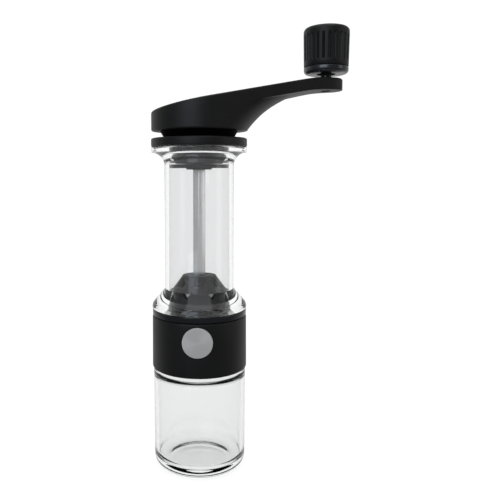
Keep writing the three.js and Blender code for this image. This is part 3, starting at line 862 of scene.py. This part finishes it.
def add_knob():
    low, high = bottom("knob_cap"), top("knob_cap")
    radius = 11.7 * MM
    ribs = 24
    per_rib = 12
    corner = 2.4 * MM
    crown_rise = 0.6 * MM
    taper = 0.3 * MM
    depth = 0.75 * MM
    rib_start, rib_end = low + 2.7 * MM, 226.9 * MM
    rib_share = 0.45
    cavity, roof = 9.2 * MM, high - 3.5 * MM

    def groove(angle):
        """0 on a rib's crown and 1 in the groove between two ribs."""
        phase = 1 - abs(math.remainder((angle - GROOVE_TURN) * ribs / TAU, 1)) * 2
        return (1 - phase / rib_share) ** 0.7 if phase < rib_share else 0.0

    def shape(z):
        """How deep the grooves are at a height: they run out at both ends."""
        if z < rib_start or z > rib_end:
            return 0.0
        return min(1.0, (z - rib_start) / (0.5 * MM), (rib_end - z) / (0.7 * MM)) ** 0.5

    heights = [low + 0.25 * MM, rib_start - 0.2 * MM, rib_start]
    heights += [rib_start + 0.5 * MM * k / 5 for k in range(1, 6)]
    straight = rib_end - rib_start - 1.2 * MM
    heights += [rib_start + 0.5 * MM + straight * k / 6 for k in range(1, 7)]
    heights += [rib_end - 0.7 * MM + 0.7 * MM * k / 6 for k in range(1, 7)]
    outline = [(radius - taper - 0.2 * MM, low, 0.0)]
    for z in heights:
        share = min(max((z - low) / (rib_end - low), 0), 1)
        outline.append((radius - taper * (1 - share), z, shape(z)))
    rounding = arc(radius - corner, high - corner - crown_rise, corner, 0, 76, 10)
    outline += [(r, z, 0.0) for r, z in rounding]
    crown = outline[-1]
    for share in (0.8, 0.6, 0.4, 0.2):
        outline.append((crown[0] * share, high - (high - crown[1]) * share**2, 0.0))

    segments = ribs * per_rib
    rows = [[(KNOB_X, 0, low)]]
    for r, z, groove_share in outline:
        row = []
        for j in range(segments):
            angle = TAU * j / segments
            at = r - depth * groove_share * groove(angle)
            row.append((KNOB_X + at * math.cos(angle), at * math.sin(angle), z))
        rows.append(row)
    rows.append([(KNOB_X, 0, high)])
    piece = add_piece("knob_grip", skin(rows, False), SATIN, "knob", ["knob_cap"], 50)
    cut(piece, rod(cavity, low - MM, roof, 96, (KNOB_X, 0)))
    sharpen(piece, 50)

    low, seam = bottom("knob_base"), bottom("knob_cap") - 0.3 * MM
    base = 11.4 * MM
    bore = 4.9 * MM
    spigot, spigot_top = 8.9 * MM, top("knob_base")
    round_edge = 1.9 * MM
    edge = 0.3 * MM
    profile = [
        (bore, low),
        *arc(base - round_edge, low + round_edge, round_edge, -90, 0, 10),
        *arc(base - edge, seam - edge, edge, 0, 90, 3),
        (spigot, seam),
        (spigot, spigot_top),
        (bore, spigot_top),
    ]
    add_piece(
        "knob_foot", turned(profile, 144, (KNOB_X, 0)), LACQUER, "knob", ["knob_base"]
    )


# ---------- drive ----------
def add_shaft():
    low, high = bottom("drive_shaft"), top("drive_shaft")
    hex_low = 69.5 * MM
    corner = 6.3 * MM / math.sqrt(3)
    tail, tail_top = 2.4 * MM, hex_low - 0.02 * MM
    chamfer = 0.3 * MM
    turns = [TAU * k / 6 for k in range(6)]
    ends = [[(corner * math.sin(a), -corner * math.cos(a), z) for a in turns] for z in (hex_low, high)]
    bar = prism(*ends)
    soften_edges(bar, 0.35 * MM, 3)
    add_piece("hex_shaft", bar, STEEL, "drive", ["drive_shaft"], 25)
    profile = [(0, low), (tail - chamfer, low), (tail, low + chamfer), (tail, tail_top), (0, tail_top)]
    add_piece("shaft_tail", turned(profile, 48), SPRING, "drive", ["drive_shaft"], 25)


# ---------- stage ----------
SHEET_RADIUS = 0.36
ROOM_LIGHT = 1.04
BEHIND_CLEAR = 0.89
BEHIND_OBJECT = 0.66
BEHIND_CAMERA = 0.045
REFLECTED_INSIDE = 0.4


def add_light(name, place, target, size, power, color=(1, 1, 1)):
    data = bpy.data.lights.new(name, "AREA")
    data.shape = "RECTANGLE"
    data.size, data.size_y = size
    data.energy = power
    data.color = color
    light = bpy.data.objects.new(name, data)
    light.location = place
    light.rotation_euler = (Vector(target) - Vector(place)).to_track_quat("-Z", "Y").to_euler()
    bpy.context.scene.collection.objects.link(light)


def add_stage():
    """A round sheet of pale paper in a white room, and three soft lights."""
    sheet = bmesh.new()
    bmesh.ops.create_circle(sheet, cap_ends=True, segments=96, radius=SHEET_RADIUS)
    data = bpy.data.meshes.new("floor")
    sheet.to_mesh(data)
    sheet.free()
    data.materials.append(floor_paper())
    floor = bpy.data.objects.new("floor", data)
    floor.location.z = -0.05 * MM
    floor.visible_glossy = False
    bpy.context.scene.collection.objects.link(floor)

    world = bpy.data.worlds.new("studio")
    bpy.context.scene.world = world
    world.use_nodes = True
    tree = world.node_tree
    background = tree.nodes["Background"]
    background.inputs["Color"].default_value = (1, 1, 1, 1)
    # The room is bright, and what gloss reflects of it is dim, most of all on the camera's side.
    # A ray that has gone through both walls of a clear piece has been through at least four surfaces;
    # one with fewer is a reflection inside the clear piece itself, and sees the bright room.
    def math_node(operation, first, second):
        made = tree.nodes.new("ShaderNodeMath")
        made.operation = operation
        made.use_clamp = True
        for socket, value in zip(made.inputs, (first, second)):
            if isinstance(value, (int, float)):
                socket.default_value = value
            else:
                tree.links.new(value, socket)
        return made.outputs["Value"]

    def blend(share, low, high, span=(0, 1)):
        made = tree.nodes.new("ShaderNodeMapRange")
        made.inputs["From Min"].default_value, made.inputs["From Max"].default_value = span
        tree.links.new(share, made.inputs["Value"])
        for key, value in (("To Min", low), ("To Max", high)):
            if isinstance(value, (int, float)):
                made.inputs[key].default_value = value
            else:
                tree.links.new(value, made.inputs[key])
        return made.outputs["Result"]

    rays = tree.nodes.new("ShaderNodeLightPath")
    direction = tree.nodes.new("ShaderNodeTexCoord")
    split = tree.nodes.new("ShaderNodeSeparateXYZ")
    tree.links.new(direction.outputs["Generated"], split.inputs["Vector"])
    through_both = math_node("GREATER_THAN", rays.outputs["Transmission Depth"], 3.5)
    untouched = math_node("LESS_THAN", rays.outputs["Transmission Depth"], 0.5)
    shiny = math_node("MULTIPLY", math_node("ADD", through_both, untouched), rays.outputs["Glossy Depth"])
    plain = blend(through_both, ROOM_LIGHT, BEHIND_CLEAR)
    bare = blend(split.outputs["Y"], BEHIND_CAMERA, BEHIND_OBJECT, (-0.15, 0.85))
    reflected = blend(through_both, bare, REFLECTED_INSIDE)
    tree.links.new(blend(shiny, plain, reflected), background.inputs["Strength"])

    middle = (0, 0, 0.13)
    add_light("window", (-0.5, -1.2, 0.62), middle, (0.9, 0.9), 4.3, (0.76, 0.87, 1.0))
    add_light("side", (1.0, -0.35, 0.35), middle, (0.4, 0.8), 0.65, (1.0, 0.97, 0.94))
    add_light("top", (0, -0.1, 1.1), middle, (0.9, 0.9), 2.6)


add_camera()
finish_carried_over()
add_jar()
add_collar()
add_badge()
add_base_ring()
add_hopper()
add_cage()
add_guide()
add_lid()
add_crank()
add_knob_pin()
add_knob()
add_shaft()
add_stage()
bpy.context.scene.view_settings.view_transform = "Standard"
